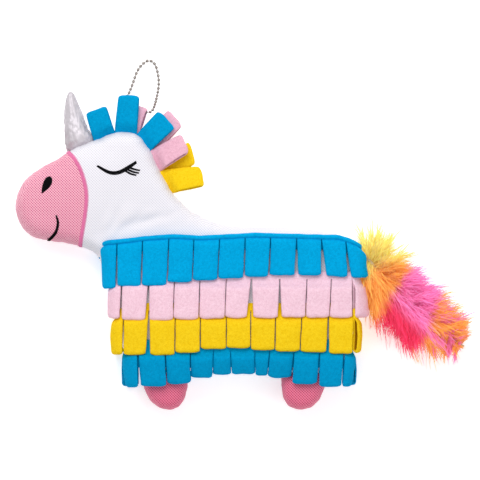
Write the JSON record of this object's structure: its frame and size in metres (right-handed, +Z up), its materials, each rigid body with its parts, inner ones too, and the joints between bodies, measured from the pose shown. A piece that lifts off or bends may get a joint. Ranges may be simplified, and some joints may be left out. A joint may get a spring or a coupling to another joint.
{
  "type": "pinata",
  "caption": "Stuffed unicorn toy dressed as a pinata, with looped fleece fringe rows and mane, feather tail and ball chain, lying flat.",
  "frame": {"origin": "on the surface the toy lies on, under the middle of its box", "axes": "+X from nose to tail, +Y from feet to crest, +Z up through the toy's thickness"},
  "size_m": [0.3531, 0.2735, 0.0464],
  "materials": {
    "black_thread": "satin stitch embroidery",
    "blue_fleece": "soft anti-pill fleece",
    "edging_thread": "satin zigzag stitch",
    "nickel": "nickel-plated",
    "orange_feather": "dyed marabou",
    "pink_feather": "dyed marabou",
    "pink_fleece": "soft anti-pill fleece",
    "pink_mesh": "dotted oxford mesh",
    "polyester_fibre": "loose fibre",
    "rose_mesh": "dotted oxford mesh",
    "silver_lame": "crinkled metallic lame",
    "twine": "cotton twine",
    "white_mesh": "dotted oxford mesh",
    "yellow_feather": "dyed marabou",
    "yellow_fleece": "soft anti-pill fleece"
  },
  "bodies": {
    "toy": {"back_face_panel": "white_mesh", "back_row_1": "blue_fleece", "back_row_2": "pink_fleece", "back_row_3": "yellow_fleece", "back_row_4": "blue_fleece", "body_filling": "polyester_fibre", "closed_eye_back": "black_thread", "closed_eye_front": "black_thread", "front_face_panel": "white_mesh", "front_foot_back_panel": "rose_mesh", "front_foot_filling": "polyester_fibre", "front_foot_front_panel": "rose_mesh", "front_row_1_end_loops": "blue_fleece", "front_row_1_header": "blue_fleece", "front_row_2_end_loops": "pink_fleece", "front_row_2_header": "pink_fleece", "front_row_3_end_loops": "yellow_fleece", "front_row_3_header": "yellow_fleece", "front_row_4_end_loops": "blue_fleece", "front_row_4_header": "blue_fleece", "hind_foot_back_panel": "rose_mesh", "hind_foot_filling": "polyester_fibre", "hind_foot_front_panel": "rose_mesh", "horn_cover": "silver_lame", "horn_filling": "polyester_fibre", "mane_pink_back": "pink_fleece", "mane_pink_chain_loop": "pink_fleece", "mane_yellow_back": "yellow_fleece", "mouth_back": "black_thread", "mouth_front": "black_thread", "muzzle_back_panel": "pink_mesh", "muzzle_edging_back": "edging_thread", "muzzle_edging_front": "edging_thread", "muzzle_front_panel": "pink_mesh", "nostril_back": "black_thread", "nostril_front": "black_thread", "tail_binding": "twine"},
    "row_1": {"front_row_1_loops": "blue_fleece"},
    "row_2": {"front_row_2_loops": "pink_fleece"},
    "row_3": {"front_row_3_loops": "yellow_fleece"},
    "row_4": {"front_row_4_loops": "blue_fleece"},
    "mane_blue_1": {"mane_blue_1": "blue_fleece"},
    "mane_blue_2": {"mane_blue_2": "blue_fleece"},
    "mane_blue_3": {"mane_blue_3": "blue_fleece"},
    "mane_pink_front": {"mane_pink_front": "pink_fleece"},
    "mane_yellow_front": {"mane_yellow_front": "yellow_fleece"},
    "tail_root": {"tail_twine_root": "twine", "tail_plume_root": "yellow_feather"},
    "tail_middle": {"tail_twine_middle": "twine", "tail_plume_middle": "pink_feather"},
    "tail_tip": {"tail_twine_tip": "twine", "tail_plume_tip": "orange_feather"},
    "chain": {"chain_balls": "nickel", "chain_links": "nickel", "chain_clasp": "nickel"}
  },
  "joints": [
    {"name": "row_1_lift", "type": "hinge", "parent": "toy", "child": "row_1", "pos_m": [0, -0.004, 0.0464], "axis": [-1, 0, 0], "range_deg": [0, 50]},
    {"name": "row_2_lift", "type": "hinge", "parent": "toy", "child": "row_2", "pos_m": [0, -0.0395, 0.0464], "axis": [-1, 0, 0], "range_deg": [0, 50]},
    {"name": "row_3_lift", "type": "hinge", "parent": "toy", "child": "row_3", "pos_m": [0, -0.0663, 0.0464], "axis": [-1, 0, 0], "range_deg": [0, 50]},
    {"name": "row_4_lift", "type": "hinge", "parent": "toy", "child": "row_4", "pos_m": [0, -0.0928, 0.0464], "axis": [-1, 0, 0], "range_deg": [0, 50]},
    {"name": "mane_blue_1_lift", "type": "hinge", "parent": "toy", "child": "mane_blue_1", "pos_m": [-0.1073, 0.0784, 0.0279], "axis": [0.9532, 0.3024, 0], "range_deg": [0, 60]},
    {"name": "mane_blue_2_lift", "type": "hinge", "parent": "toy", "child": "mane_blue_2", "pos_m": [-0.09, 0.0816, 0.0279], "axis": [0.9962, -0.0872, 0], "range_deg": [0, 60]},
    {"name": "mane_blue_3_lift", "type": "hinge", "parent": "toy", "child": "mane_blue_3", "pos_m": [-0.0736, 0.0745, 0.0279], "axis": [0.7132, -0.7009, 0], "range_deg": [0, 60]},
    {"name": "mane_pink_front_lift", "type": "hinge", "parent": "toy", "child": "mane_pink_front", "pos_m": [-0.0651, 0.0585, 0.0279], "axis": [0.524, -0.8517, 0], "range_deg": [0, 60]},
    {"name": "mane_yellow_front_lift", "type": "hinge", "parent": "toy", "child": "mane_yellow_front", "pos_m": [-0.056, 0.0416, 0.0279], "axis": [0.2419, -0.9703, 0], "range_deg": [0, 60]},
    {"name": "tail_swing", "type": "hinge", "parent": "toy", "child": "tail_root", "pos_m": [0.0945, -0.0159, 0.0232], "axis": [0, 0, 1], "range_deg": [0, 20]},
    {"name": "tail_bend", "type": "hinge", "parent": "tail_root", "child": "tail_middle", "pos_m": [0.115, -0.0386, 0.0232], "axis": [0, 0, 1], "range_deg": [-20, 12]},
    {"name": "tail_tip_bend", "type": "hinge", "parent": "tail_middle", "child": "tail_tip", "pos_m": [0.1395, -0.0625, 0.0232], "axis": [0, 0, 1], "range_deg": [-20, 12]},
    {"name": "chain_swing", "type": "hinge", "parent": "toy", "child": "chain", "pos_m": [-0.0828, 0.097, 0.0196], "axis": [0, 0, 1], "range_deg": [-10, 10]}
  ]
}
